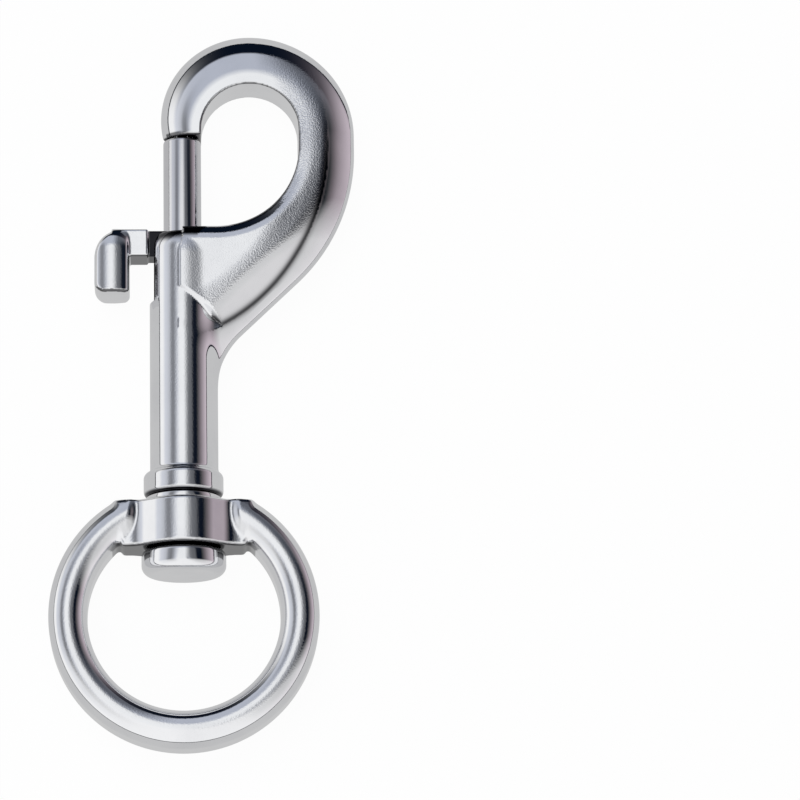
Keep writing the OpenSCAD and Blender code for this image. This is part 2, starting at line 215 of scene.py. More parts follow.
class GateSizes(bpy.types.PropertyGroup):
    bolt_d: length("Bolt", 5.0, "Diameter of the bolt")
    bolt_round: length("Bolt end", 0.45, "Rounding at the ends of the bolt")
    nose_d: length("Nose", 3.6, "Diameter of the bolt's nose")
    nose_len: length("Nose length", 1.3, "Length of the bolt's nose")
    tab_x: length("Tab reach", 11.6, "From the axis to the tab's outer side")
    tab_w: length("Tab width", 4.6, "Width of the thumb tab")
    tab_top: length("Tab top", 36.0, "Height of the tab's top")
    tab_len: length("Tab length", 8.8, "Length of the tab along the barrel")
    tab_depth: length("Tab depth", 6.4, "Depth of the tab from front to back")
    tab_big_r: length("Tab shoulder", 3.9, "Radius of the tab's outer top corner")
    tab_low_r: length("Tab low corner", 1.5, "Radius of the tab's lower outer corner")
    tab_r: length("Tab face", 4.4, "Radius of the tab's front across its width")
    tab_crown: length("Tab crown", 2.6, "Length over which the tab's front falls to its top")
    tab_crown_r: length("Tab crown radius", 3.6, "Radius of that fall")
    tab_in_r: length("Tab inner corners", 0.7, "Radius of the tab's inner corners")
    tab_round: length("Tab rounding", 0.5, "Rounding where the tab's outline meets its front")
    arm_h: length("Arm height", 3.7, "Height of the arm along the barrel")
    arm_depth: length("Arm depth", 4.6, "Depth of the arm from front to back")
    arm_round: length("Arm rounding", 0.3, "Rounding of the arm's edges")
    arm_gap: length("Arm gap", 0.15, "Clearance between the arm and the barrel")
    root_depth: length("Root depth", 3.6, "Depth of the root that runs in the slot")
    blend: length("Blend", 0.35, "Blend between the tab and the arm")
    spring_d: length("Spring", 4.6, "Outside diameter of the spring")
    wire_d: length("Wire", 0.6, "Diameter of the spring's wire")
    turns: IntProperty(name="Turns", description="Turns of the spring", default=10, min=2)


class SwivelSizes(bpy.types.PropertyGroup):
    shank_d: length("Shank", 5.1, "Diameter of the stud's shank")
    shank_top: length("Shank top", 5.0, "Height of the shank's end inside the barrel")
    head_d: length("Head", 11.0, "Diameter of the stud's head")
    head_h: length("Head height", 3.2, "Height of the stud's head")
    head_round: length("Head rounding", 1.3, "Rounding of the head's lower edge")
    head_brow: length("Head brow", 0.7, "Rounding of the head's upper edge")
    head_top: length("Head top", 7.15, "From the swivel face down to the head")
    washer_d: length("Washer", 9.8, "Diameter of the washer")
    washer_hole_d: length("Washer hole", 5.24, "Diameter of the washer's hole")
    washer_round: length("Washer edge", 0.15, "Rounding of the washer's edges")


class EyeSizes(bpy.types.PropertyGroup):
    eye_d: length("Eye", 25.0, "Inside diameter of the eye")
    ring_w: length("Ring width", 5.0, "Width of the ring's section")
    ring_depth: length("Ring depth", 8.0, "Depth of the ring's section")
    hub_top: length("Hub top", 0.9, "From the swivel face down to the hub")
    hub_h: length("Hub height", 6.1, "Height of the hub")
    hub_round: length("Hub edge", 0.45, "Rounding of the hub's edges")
    eye_drop: length("Eye drop", 15.0, "From the hub's top to the middle of the eye")
    ear_depth: length("Ear depth", 6.4, "Depth of the ears from front to back")
    ear_reach: length("Ear reach", 8.9, "From the axis to the end of each ear, at the top")
    ear_lean: angle("Ear lean", 8, "How far the ends of the ears lean in below")
    ring_from: length("Ring end", 6.4, "From the axis to where the ring runs out in the hub")
    ring_end_r: length("Ring end rounding", 1.0, "Rounding of the ring's ends in the hub")
    boss_d: length("Boss", 12.6, "Diameter of the boss")
    flank_turn: angle("Flank", 37, "How far the flanks beside the boss turn away from the front")
    flank: length("Flank fillet", 0.8, "Fillet between the flanks and the ears")
    bore_d: length("Bore", 5.24, "Diameter of the hub's bore")
    blend: length("Blend", 0.8, "Blend between the hub and the ring")


class Finishes(bpy.types.PropertyGroup):
    body: colour("Plating", (0.86, 0.865, 0.88), "Bright plating of the hook and the eye")
    lever: colour("Lever", (0.87, 0.875, 0.89), "Bright plating of the lever")
    bolt: colour("Bolt", (0.74, 0.74, 0.76), "Plated steel of the bolt")
    washer: colour("Washer", (0.86, 0.86, 0.87), "Bright steel of the washer")
    spring: colour("Spring", (0.50, 0.51, 0.53), "Drawn wire of the spring")
    dull: colour("Tarnish", (0.50, 0.50, 0.54), "Tint in the worn and sheltered places")
    # Hollow: near-black colour of the painted shade, which the shade mark lays in the bore, the slot,
    # the creases, under the ends and on the edges
    hollow: colour("Hollow", (0.012, 0.012, 0.015), "Soot in the bore and the slot")
    gloss: share("Gloss roughness", 0.035, "Roughness of the polished metal")
    grain: share("Grain roughness", 0.085, "Roughness where the casting's grain shows")
    grain_size: length("Grain size", 0.20, "Size of the casting's grain")
    grain_depth: length("Grain depth", 0.040, "Depth of the casting's grain")
    ripple_size: length("Ripple size", 3.2, "Size of the slow waves in the plating")
    ripple_depth: length("Ripple depth", 0.010, "Depth of the slow waves in the plating")
    barrel_grain: share("Barrel grain", 0.22, "Share of the casting's grain on the barrel")
    face_grain: share("Face grain", 0.3, "Share of it on the eye, the lever and the inner shield")


# Strengths and reaches of the painted shade: near-black colour painted where shade and dark
# reflections fall, in the hollows and creases, under the ends and on edges
class PaintedShadeMarks(bpy.types.PropertyGroup):
    under: share("Underside", 0.96, "Shade under the barrel's foot and the tip")
    crease: share("Crease", 0.93, "Shade in the crease beside the shield")
    crease_w: length("Crease spread", 0.42, "Spread of that shade across the crease")
    crease_from: length("Crease start", 3.8, "From the axis to where that shade starts")
    edge: share("Edge", 0.8, "Shade on the rounding of the bow's inner edge")
    edge_w: length("Edge width", 0.45, "Width of that shade")
    mouth: share("Mouth", 0.94, "Shade on the shoulder at the barrel's mouth")
    slot_edge: length("Slot edge", 0.4, "How far the slot's soot reaches over its edges")
    bore_edge: length("Bore edge", 0.15, "How far the bore's soot reaches over its edge")
    eye_under: share("Hub underside", 0.95, "Shade under the eye's hub")
    eye_over: share("Hub top", 0.9, "Shade between the washer and the hub")
    eye_over_r: length("Hub top reach", 5.8, "From the axis to where that shade ends")
    root: share("Root", 0.99, "Shade on the lever's root")
    lever_under: share("Lever underside", 0.85, "Shade under the lever's arm and tab")


class StageSettings(bpy.types.PropertyGroup):
    floor_half: length("Floor", 900, "Half the width of the floor")
    floor: colour("Floor", (0.86, 0.86, 0.86), "Colour of the floor under the lamps")
    floor_seen: share("Floor seen", 0.96, "Share of the floor that is plain white to the camera")
    floor_mirrored: share("Floor mirrored", 0.60, "Brightness of the floor as the metal shows it")
    zenith: colour("Overhead", (0.95, 0.96, 0.97), "Studio ceiling straight above")
    bright: colour("Softbox", (1.0, 1.0, 1.0), "Softboxes at the left and the front")
    cool: colour("Cool wall", (0.50, 0.53, 0.61), "Wall above the dark board at the back")
    navy: colour("Dark board", (0.003, 0.006, 0.014), "Dark board at the back and the right")
    warm: colour("Warm wall", (0.60, 0.52, 0.57), "Warm wall low on the right")
    lamp_power: FloatProperty(
        name="Lamp", description="Power of the soft overhead lamp, in watts", default=2.0
    )
    lamp_size: length("Lamp size", 500, "Width of the overhead lamp")
    lamp_height: length("Lamp height", 700, "Height of the overhead lamp")
    distance: length("Camera distance", 560, "From the camera to the middle of the hook")
    tilt: angle("Camera tilt", 14.6, "How far the camera leans from straight above")
    roll: angle("Camera roll", -0.25, "How far the hook leans in the picture")
    focal_px: FloatProperty(name="Focal length", description="In pixels", default=4264.0)
    middle_px: FloatVectorProperty(
        name="Middle in the picture",
        description="Where the middle of the hook falls, in pixels of the 800 frame",
        size=2,
        default=(183.2, 398.0),
    )
    middle_y: length("Middle", 13.5, "Height of the middle of the hook above its swivel face")


# Solids as distance fields: negative inside, in metres


def smooth_union(a, b, blend):
    """The nearer of two fields, with a fillet where they meet."""
    h = np.clip(0.5 + 0.5 * (b - a) / blend, 0, 1)
    return b + (a - b) * h - blend * h * (1 - h)


def rounded_cut(a, b, radius):
    """Where both fields are inside, with the edge between them rounded."""
    over = np.hypot(np.maximum(a + radius, 0), np.maximum(b + radius, 0))
    return np.minimum(np.maximum(a, b), -radius) + over


def ease(t):
    t = np.clip(t, 0, 1)
    return t * t * (3 - 2 * t)


def fade(value, start, end):
    """Goes smoothly from 0 where the value is at start to 1 where it is at end."""
    return ease((value - start) / (end - start))


def eased_slope(run, easing):
    """Rise over a run of a slope of one in one, which sets in over an easing length."""
    run = np.maximum(run, 0)
    onset = np.minimum(run, easing)
    return onset ** 2 / (2 * easing) + run - onset


def disc(x, y, centre_x, centre_y, radius):
    return np.hypot(x - centre_x, y - centre_y) - radius


def rounded_box(x, y, half_x, half_y, radius):
    """A rectangle with rounded corners; the radius may differ from corner to corner."""
    return rounded_cut(np.abs(x) - half_x, np.abs(y) - half_y, radius)


class Outline:
    """The bow's outlines, seen from the front, with their arcs and the lines of its shield."""

    def __init__(self, barrel, bow, shield):
        self.bow = bow
        self.shield = shield
        self.low_y = shield.top_y + bow.low_r
        self.in_y = self.low_y + bow.straight
        self.in_x = bow.tip_w / 2 + bow.in_r
        self.in_side = self.in_x + bow.in_r
        self.out_side = self.in_x + bow.out_r
        self.low_x = self.in_side - bow.low_r
        self.side_x = self.out_side - bow.side_r
        self.top_y = self.in_y + bow.out_r
        self.tip_centre_y = self.top_y - bow.tip_r
        self.tip_from = self.low_y - 4 * MM
        self.throat_x = barrel.barrel_d / 2 + bow.throat_r
        self.barrel_r = barrel.barrel_d / 2
        run = np.array([self.throat_x - self.side_x, bow.throat_y - self.low_y])
        turn = math.acos((bow.side_r + bow.throat_r) / np.linalg.norm(run))
        line_a = math.atan2(run[1], run[0]) + turn
        self.normal = np.array([math.cos(line_a), math.sin(line_a)])
        self.line_from = np.array([self.side_x, self.low_y]) + bow.side_r * self.normal
        line_to = np.array([self.throat_x, bow.throat_y]) - bow.throat_r * self.normal
        self.line_len = np.linalg.norm(line_to - self.line_from)
        self.along = (line_to - self.line_from) / self.line_len

    def outer(self, x, y):
        """Distance outside the outer outline on the far side, from the top to the throat."""
        bow = self.bow
        upper = disc(x, y, self.in_x, self.in_y, bow.out_r)
        side = disc(x, y, self.side_x, self.low_y, bow.side_r)
        throat = -disc(x, y, self.throat_x, bow.throat_y, bow.throat_r)
        run_x, run_y = x - self.line_from[0], y - self.line_from[1]
        line = run_x * self.normal[0] + run_y * self.normal[1]
        along = run_x * self.along[0] + run_y * self.along[1]
        lower = np.where(along < 0, side, np.where(along < self.line_len, line, throat))
        lower = np.where(y < bow.throat_y, x - self.barrel_r, lower)
        return np.where(y > self.in_y, upper, np.where(y > self.low_y, x - self.out_side, lower))

    def inner(self, x, y):
        """Distance outside the opening."""
        bow = self.bow
        upper = disc(x, y, self.in_x, self.in_y, bow.in_r)
        low = disc(x, y, self.low_x, self.low_y, bow.low_r)
        low = np.where(x < self.low_x, self.shield.top_y - y, low)
        return np.where(y > self.in_y, upper, np.where(y > self.low_y, x - self.in_side, low))

    def round_the_bow(self, x, y):
        """Angle about the middle of the opening: 0 at the far side, -90 degrees at the barrel."""
        return np.arctan2(y - self.low_y, x - self.low_x)

    def ridge(self, x, y):
        """Distance from the line of the shield's ridge, towards the opening."""
        return -disc(x, y, self.shield.ridge_x, self.shield.ridge_y, self.shield.ridge_r)

    def foot(self, x, y):
        """Distance above the line of the shield's lower edge."""
        slope = self.shield.foot_slope
        return x * math.sin(slope) + (y - self.shield.foot_y) * math.cos(slope)


def domed(distance, bow):
    """How far the bow's face has fallen at a distance from the inner edge."""
    off = np.maximum(distance - bow.crest, 0)
    reach = bow.out_r - bow.in_r - bow.crest
    return off ** 2 / (2 * bow.face_r) + bow.face_fall * (off / reach) ** 4


def face_height(turn, inner, ridge, bow, shield):
    """Half thickness inside the ridge: a dome on the bow, a lip and a slow fall on the shield."""
    top = bow.depth / 2 + (shield.depth - bow.depth) / 2 * fade(turn, shield.fade_from, shield.fade_to)
    on_shield = fade(turn, FACE_FROM, FACE_TO)
    step = shield.step_h * fade(ridge, shield.step_to, shield.step_from)
    lip = eased_slope(shield.lip_w + shield.lip_ease - inner, shield.lip_ease)
    fall = eased_slope(shield.fall_from - ridge, shield.fall_ease)
    lowered = step + lip * math.tan(shield.lip_slope) + fall * math.tan(shield.fall_slope)
    return top - domed(inner, bow) * (1 - on_shield) - lowered * on_shield


def band_height(outer, ridge, foot, shield):
    """Half thickness outside the ridge: a band that slopes to the rim, and the wall beside it."""
    least_width = 0.05 * MM
    steep, mild = math.tan(shield.band_slope), math.tan(shield.band_root)
    inward = np.maximum(-outer, 0)
    width = np.maximum(inward - ridge, least_width)
    inward = np.minimum(inward, width)
    band = shield.band_rim + inward * (steep - (steep - mild) / 2 * inward / width)
    wall = band + smooth_union(ridge * math.tan(shield.wall), foot * math.tan(shield.foot_wall),
                               shield.crease)
    return -smooth_union(-band, -wall, shield.crease)


def plate_field(z, outer, inner, height, bow):
    """The metal between two outlines, up to its half thickness, with its edges rounded."""
    edge_r = np.where(-inner > outer, bow.in_edge_r, bow.out_edge_r)
    return rounded_cut(np.maximum(outer, -inner), np.abs(z) - height, edge_r)


def tip_field(x, y, z, outline):
    """The side of the bow that narrows as it comes down to the bolt."""
    bow = outline.bow
    outer = disc(x, y, outline.in_x, outline.tip_centre_y, bow.tip_r)
    inner = disc(x, y, outline.in_x, outline.in_y, bow.in_r)
    stretched = inner * (bow.out_r - bow.in_r) / np.maximum(inner - outer, bow.tip_w)
    tip = plate_field(z, outer, inner, bow.depth / 2 - domed(stretched, bow), bow)
    return rounded_cut(tip, bow.tip_y - y, bow.tip_round)


def bow_field(x, y, z, outline):
    """The bow: its face steps down at the ridge to an outer band that slopes to the rim."""
    bow, shield = outline.bow, outline.shield
    outer, inner = outline.outer(x, y), outline.inner(x, y)
    ridge, foot = outline.ridge(x, y), outline.foot(x, y)
    turn = outline.round_the_bow(x, y)
    turn = np.where((x < outline.low_x) & (y < outline.low_y), -math.pi / 2, turn)
    face = face_height(turn, inner, ridge, bow, shield)
    height = smooth_union(face, band_height(outer, ridge, foot, shield), shield.brow)
    height = height + (face - height) * fade(turn, RIDGE_FULL, shield.fade_from)
    plate = plate_field(z, outer, inner, height, bow)
    near_tip = (x < outline.in_x) & (y > outline.tip_from)
    return np.where(near_tip, tip_field(x, y, z, outline), np.maximum(plate, -x))


def barrel_field(x, y, z, barrel):
    rho = np.hypot(x, z)
    shoulder = np.maximum(barrel.mouth_h + y - barrel.barrel_len, 0) ** 2 / (2 * barrel.mouth_r)
    tube = rounded_cut(rho - barrel.barrel_d / 2 + shoulder,
                       np.maximum(-y, y - barrel.barrel_len), barrel.mouth_round)
    middle = barrel.collar_h / 2
    collar = rounded_cut(rho - barrel.collar_d / 2, np.abs(y - middle) - middle, barrel.collar_round)
    return smooth_union(tube, collar, barrel.collar_fillet)


def hook_field(sizes):
    barrel, bow = sizes.barrel, sizes.bow
    outline = Outline(barrel, bow, sizes.shield)
    blend_from, blend_to = barrel.barrel_len - 0.5 * MM, barrel.barrel_len - 3.5 * MM
    least_blend = 0.02 * MM

    def field(x, y, z):
        blend = bow.blend * fade(y, blend_from, blend_to) + least_blend
        solid = smooth_union(barrel_field(x, y, z, barrel), bow_field(x, y, z, outline), blend)
        rho = np.hypot(x, z)
        past_middle = y - outline.low_y
        bore = np.maximum(rho - barrel.bore_d / 2, np.maximum(barrel.bore_foot - y, past_middle))
        slot = rounded_cut(np.abs(z) - barrel.slot_w / 2, barrel.slot_foot - y, barrel.slot_round)
        slot = np.maximum(slot, np.maximum(x, past_middle))
        nose = np.maximum(rho - bow.nose_hole_d / 2, y - bow.tip_y - bow.nose_hole_len)
        nose = np.maximum(nose, -past_middle)
        hollow = np.minimum(np.minimum(bore, slot), nose)
        return rounded_cut(solid, -hollow, barrel.edge_round)

    return field, outline


def lever_field(sizes):
    gate, barrel = sizes.gate, sizes.barrel
    tab_x = gate.tab_w / 2 - gate.tab_x
    tab_y = gate.tab_top - gate.tab_len / 2
    arm_y = gate.tab_top - gate.arm_h / 2
    near = barrel.barrel_d / 2 + gate.arm_gap
    arm_far = gate.tab_x - gate.tab_w / 2
    root_far = near + MM
    root_half = gate.arm_h / 2 - 0.1 * MM

    def field(x, y, z):
        dx, dy = x - tab_x, y - tab_y
        corner = np.where(dx > 0, gate.tab_in_r, np.where(dy > 0, gate.tab_big_r, gate.tab_low_r))
        outline = rounded_box(dx, dy, gate.tab_w / 2, gate.tab_len / 2, corner)
        drop = np.maximum(dy - gate.tab_len / 2 + gate.tab_crown, 0) ** 2 / (2 * gate.tab_crown_r)
        pillow = np.hypot(dx, np.abs(z) + drop - gate.tab_depth / 2 + gate.tab_r) - gate.tab_r
        tab = rounded_cut(outline, pillow, gate.tab_round)
        section = rounded_box(y - arm_y, z, gate.arm_h / 2, gate.arm_depth / 2, gate.arm_round)
        arm = rounded_cut(section, np.maximum(-arm_far - x, x + near), gate.arm_round)
        root = rounded_box(y - arm_y, z, root_half, gate.root_depth / 2, gate.arm_round)
        root = np.maximum(root, np.maximum(-root_far - x, x + gate.bolt_d / 4))
        root = np.maximum(root, gate.bolt_d / 2 - np.hypot(x, z))
        return np.minimum(smooth_union(tab, arm, gate.blend), root)

    return field


def eye_field(sizes):
    eye = sizes.eye
    hub_y = -eye.hub_top - eye.hub_h / 2
    eye_y = -eye.hub_top - eye.eye_drop
    ring_r = eye.eye_d / 2 + eye.ring_w / 2
    out_r = eye.eye_d / 2 + eye.ring_w
    straight = (eye.ring_depth - eye.ring_w) / 2

    def field(x, y, z):
        rho = np.hypot(x, y - eye_y)
        ring = np.hypot(rho - ring_r, np.maximum(np.abs(z) - straight, 0)) - eye.ring_w / 2
        boss = np.hypot(x, z) - eye.boss_d / 2
        flanks = (np.abs(x) * math.sin(eye.flank_turn) + np.abs(z) * math.cos(eye.flank_turn)
                  - eye.boss_d / 2)
        flanks = np.maximum(flanks, math.sin(eye.flank_turn) * eye.boss_d / 2 - np.abs(x))
        plan = smooth_union(np.minimum(boss, flanks), np.abs(z) - eye.ear_depth / 2, eye.flank)
        hub = rounded_cut(plan, np.abs(y - hub_y) - eye.hub_h / 2, eye.hub_round)
        end = ((np.abs(x) - eye.ear_reach) * math.cos(eye.ear_lean)
               - (y + eye.hub_top) * math.sin(eye.ear_lean))
        hub = rounded_cut(hub, np.maximum(end, rho - out_r), eye.hub_round)
        within = np.maximum(np.abs(x) - eye.ring_from, -(y + eye.hub_top + eye.hub_h))
        ring = rounded_cut(ring, -within, eye.ring_end_r)
        solid = smooth_union(hub, ring, eye.blend)
        solid = np.maximum(solid, y + eye.hub_top)
        bore = np.maximum(np.hypot(x, z) - eye.bore_d / 2, eye_y - y)
        return rounded_cut(solid, -bore, eye.hub_round / 2)

    return field


# Skins of the fields


def net_of(field, low, high, cell):
    """Vertices and quads of the surface where the field is zero, one vertex per crossed cell."""
    margin = 2.5 * cell
    axes = [np.arange(low[i] - margin, high[i] + margin, cell) for i in range(3)]
    value = field(*np.meshgrid(*axes, indexing="ij"))
    inside = value < 0
    shape = np.array(value.shape) - 1
    total = np.zeros((int(shape.prod()), 3))
    count = np.zeros(int(shape.prod()))
    edges = []
    for axis in range(3):
        here = [slice(None)] * 3
        there = [slice(None)] * 3
        here[axis], there[axis] = slice(0, -1), slice(1, None)
        crossed = inside[tuple(here)] != inside[tuple(there)]
        for other in range(3):
            if other != axis:
                ends = [slice(None)] * 3
                ends[other] = slice(0, 1)
                crossed[tuple(ends)] = False
                ends[other] = slice(-1, None)
                crossed[tuple(ends)] = False
        at = np.argwhere(crossed)
        a = value[tuple(here)][crossed]
        b = value[tuple(there)][crossed]
        point = at.astype(float)
        point[:, axis] += a / (a - b)
        u, v = (axis + 1) % 3, (axis + 2) % 3
        cells = []
        for du, dv in ((0, 0), (-1, 0), (-1, -1), (0, -1)):
            corner = at.copy()
            corner[:, u] += du
            corner[:, v] += dv
            flat = np.ravel_multi_index(corner.T, shape)
            for i in range(3):
                total[:, i] += np.bincount(flat, point[:, i], len(count))
            count += np.bincount(flat, minlength=len(count))
            cells.append(flat)
        quads = np.stack(cells, axis=1)
        quads[a > 0] = quads[a > 0][:, ::-1]
        edges.append(quads)
    used = np.flatnonzero(count)
    number = np.full(len(count), -1)
    number[used] = np.arange(len(used))
    points = total[used] / count[used, None] * cell + np.array([axis[0] for axis in axes])
    return points, number[np.concatenate(edges)]


def slope_of(field, points):
    """Gradient of the field at some points."""
    reach = 0.02 * MM
    slopes = []
    for i in range(3):
        step = np.zeros(3)
        step[i] = reach
        slopes.append((field(*(points + step).T) - field(*(points - step).T)) / (2 * reach))
    return np.stack(slopes, axis=1)


def settle(field, points, cell, rounds=4):
    """Moves the points onto the surface, and returns them with its normals."""
    longest_step, least_steep = 0.6 * cell, 0.05
    for _ in range(rounds):
        slope = slope_of(field, points)
        steep = np.maximum((slope ** 2).sum(axis=1), least_steep)
        step = (field(*points.T) / steep)[:, None] * slope
        far = np.linalg.norm(step, axis=1, keepdims=True)
        points = points - step * np.minimum(1, longest_step / np.maximum(far, 1e-12))
    slope = slope_of(field, points)
    return points, slope / np.linalg.norm(slope, axis=1, keepdims=True)


def mesh_from(name, points, faces, normals=None, marks=None):
    """A smooth mesh piece from points about the barrel's axis, with named marks per vertex."""
    mesh = bpy.data.meshes.new(name)
    placed = points + np.array([AXIS_X, FACE_Y, AXIS_Z])
    mesh.from_pydata(placed.tolist(), [], faces.tolist() if hasattr(faces, "tolist") else faces)
    mesh.validate()
    mesh.shade_smooth()
    for mark, values in (marks or {}).items():
        layer = mesh.attributes.new(mark, "FLOAT", "POINT")
        layer.data.foreach_set("value", np.ascontiguousarray(values, np.float32))
    if normals is not None:
        mesh.normals_split_custom_set_from_vertices(normals.tolist())
    piece = bpy.data.objects.new(name, mesh)
    bpy.context.collection.objects.link(piece)
    return piece


def skin_piece(name, field, low, high, cell, marks_of=None):
    points, faces = net_of(field, low, high, cell)
    points, normals = settle(field, points, cell)
    marks = marks_of(points, normals) if marks_of else None
    return mesh_from(name, points, faces, normals, marks)


def arc(centre_r, centre_y, radius, start, end, steps=10):
    """Points of a turned profile along an arc, as (radius, height)."""
    turns = [math.radians(start + (end - start) * i / steps) for i in range(steps + 1)]
    return [(centre_r + radius * math.cos(t), centre_y + radius * math.sin(t)) for t in turns]


def turned_piece(name, profile, steps=144, closed=False):
    """A piece turned about the barrel's axis; an open profile starts and ends on the axis."""
    rings = profile if closed else profile[1:-1]
    points, faces = [], []
    for radius, height in rings:
        for i in range(steps):
            turn = 2 * math.pi * i / steps
            points.append((radius * math.cos(turn), height, radius * math.sin(turn)))
    last = len(rings) if closed else len(rings) - 1
    for r in range(last):
        upper = (r + 1) % len(rings)
        for i in range(steps):
            j = (i + 1) % steps
            faces.append((r * steps + i, upper * steps + i, upper * steps + j, r * steps + j))
    if not closed:
        for ring, (_, height), order in ((0, profile[0], 1), (len(rings) - 1, profile[-1], -1)):
            middle = len(points)
            points.append((0, height, 0))
            for i in range(steps):
                j = (i + 1) % steps
                faces.append((middle, ring * steps + i, ring * steps + j)[::order])
    return mesh_from(name, np.array(points), faces)


def coil_piece(name, coil_d, wire_d, turns, foot, top, per_turn=40, sides=14):
    """A round wire wound about the barrel's axis."""
    steps = turns * per_turn
    radius = (coil_d - wire_d) / 2
    points, faces = [], []
    for s in range(steps + 1):
        turn = 2 * math.pi * s / per_turn
        height = foot + wire_d / 2 + (top - foot - wire_d) * s / steps
        for k in range(sides):
            around = 2 * math.pi * k / sides
            out = radius + wire_d / 2 * math.cos(around)
            points.append((out * math.cos(turn), height + wire_d / 2 * math.sin(around),
                           out * math.sin(turn)))
    for s in range(steps):
        for k in range(sides):
            n = (k + 1) % sides
            faces.append((s * sides + k, s * sides + n, (s + 1) * sides + n, (s + 1) * sides + k))
    faces.append(tuple(range(sides))[::-1])
    faces.append(tuple(steps * sides + k for k in range(sides)))
    return mesh_from(name, np.array(points), faces)


# Marks on the skins, from 0 to 1: where grain shows, and where painted shade and painted dark
# reflections darken the metal


def hook_marks(points, normals, sizes, outline):
    """Grain on the shield and the barrel; painted shade in the hollows, the creases and at the ends,
    and painted dark reflections on the bow's inner edge and the barrel's mouth.
    """
    barrel, bow, shield = sizes.barrel, sizes.bow, sizes.shield
    painted_shade, finish = sizes.painted_shade, sizes.finish
    x, y, z = points.T
    across, front = np.hypot(x, z), np.abs(normals[:, 2])
    ridge, foot = outline.ridge(x, y), outline.foot(x, y)
    turn = outline.round_the_bow(x, y)
    off_middle = np.abs(z) > MM

    on_shield = (fade(np.minimum(ridge, foot), -0.48 * MM, 1.12 * MM)
                 * fade(turn, shield.fade_from + 0.5, shield.fade_from - 0.7))
    sandy = fade(ridge, shield.fall_from + 0.4 * MM, shield.fall_from - 1.2 * MM)
    sandy = finish.face_grain + (1 - finish.face_grain) * sandy
    on_barrel = (np.abs(x) < barrel.barrel_d / 2) & (y < outline.tip_from)
    grain = fade(front, 0.84, 0.97) * np.maximum(on_shield * sandy, finish.barrel_grain * on_barrel)

    # Painted shade: the bore and the slot, and a little over their edges, are painted near black where
    # shade falls in them
    in_slot = (x < 0) & (np.abs(z) < barrel.slot_w / 2 + painted_shade.slot_edge) & (y > barrel.slot_foot)
    in_bore = across < barrel.bore_d / 2 + painted_shade.bore_edge
    hollow = (in_slot | in_bore) & (y > 0.2 * MM) & (y < barrel.barrel_len + 0.2 * MM)
    # Painted shade under the barrel's foot and under the end of the tip
    near_foot = y < 0.6 * MM
    near_tip = (np.abs(y - bow.tip_y) < 0.5 * MM) & (x < bow.tip_w)
    under = fade(-normals[:, 1], 0.25, 0.65) * (near_foot | near_tip)
    # Painted dark reflection along the rounding of the bow's inner edge
    edge = fade(front, 0.1, 0.3) * fade(front, 0.97, 0.85)
    edge = edge * (outline.inner(x, y) < painted_shade.edge_w) * (y > shield.top_y) * off_middle
    # Painted dark reflection on the shoulder round the barrel's mouth
    mouth = fade(normals[:, 1], 0.15, 0.4) * (np.abs(y - barrel.barrel_len) < barrel.mouth_h)
    mouth = mouth * (across < barrel.barrel_d / 2 + 0.3 * MM) * off_middle
    # Painted shade in the crease beside the shield
    crease = np.exp(-((np.minimum(ridge - 0.2 * MM, foot) / painted_shade.crease_w) ** 2))
    crease = crease * fade(turn, shield.fade_from - 0.3, shield.fade_from - 1.1)
    crease = crease * (x > painted_shade.crease_from) * (np.abs(z) > 1.5 * MM)
    shade = np.maximum.reduce([1.0 * hollow, painted_shade.under * under, painted_shade.crease * crease,
                               painted_shade.edge * edge, painted_shade.mouth * mouth])
    return {"grain": grain, "shade": shade}


def eye_marks(points, normals, sizes):
    """Grain on the flat faces; painted shade in the bore and above and below the hub."""
    eye, painted_shade = sizes.eye, sizes.painted_shade
    x, y, z = points.T
    foot = -eye.hub_top - eye.hub_h
    bore_r, across = eye.bore_d / 2, np.hypot(x, z)
    # Painted shade in the bore, under the hub and on the hub's top beside the washer
    inside = fade(across, bore_r + 0.5 * MM, bore_r + 0.1 * MM) * (y > foot - MM)
    under = fade(-normals[:, 1], 0.4, 0.8) * (np.abs(y - foot) < 0.5 * MM)
    over = fade(across, painted_shade.eye_over_r, painted_shade.eye_over_r - MM) * (y > foot)
    over = over * fade(normals[:, 1], 0.5, 0.9)
    shade = np.maximum.reduce([inside, painted_shade.eye_under * under, painted_shade.eye_over * over])
    return {"grain": sizes.finish.face_grain * fade(np.abs(normals[:, 2]), 0.86, 0.98),
            "shade": shade}


def lever_marks(points, normals, sizes):
    """Grain on the flat faces; painted shade on the root and under the arm and the tab."""
    gate, painted_shade = sizes.gate, sizes.painted_shade
    x, y = points[:, 0], points[:, 1]
    front, upward = np.abs(normals[:, 2]), normals[:, 1]
    # Painted shade on the root in the slot, and painted shade under the arm and along the tab's lower
    # edge
    in_slot = x > 0.1 * MM - sizes.barrel.barrel_d / 2 - gate.arm_gap
    under_arm = (upward < -0.5) & (x > gate.tab_w + 0.1 * MM - gate.tab_x)
    sill = (upward < -0.3) & (upward > -0.93) & (front > 0.3)
    under_tab = sill & (y < gate.tab_top - gate.arm_h - 2 * MM)
    shade = np.maximum(painted_shade.root * in_slot, painted_shade.lever_under * (under_arm | under_tab))
    return {"grain": sizes.finish.face_grain * fade(front, 0.9, 1.0), "shade": shade}


# Shaders


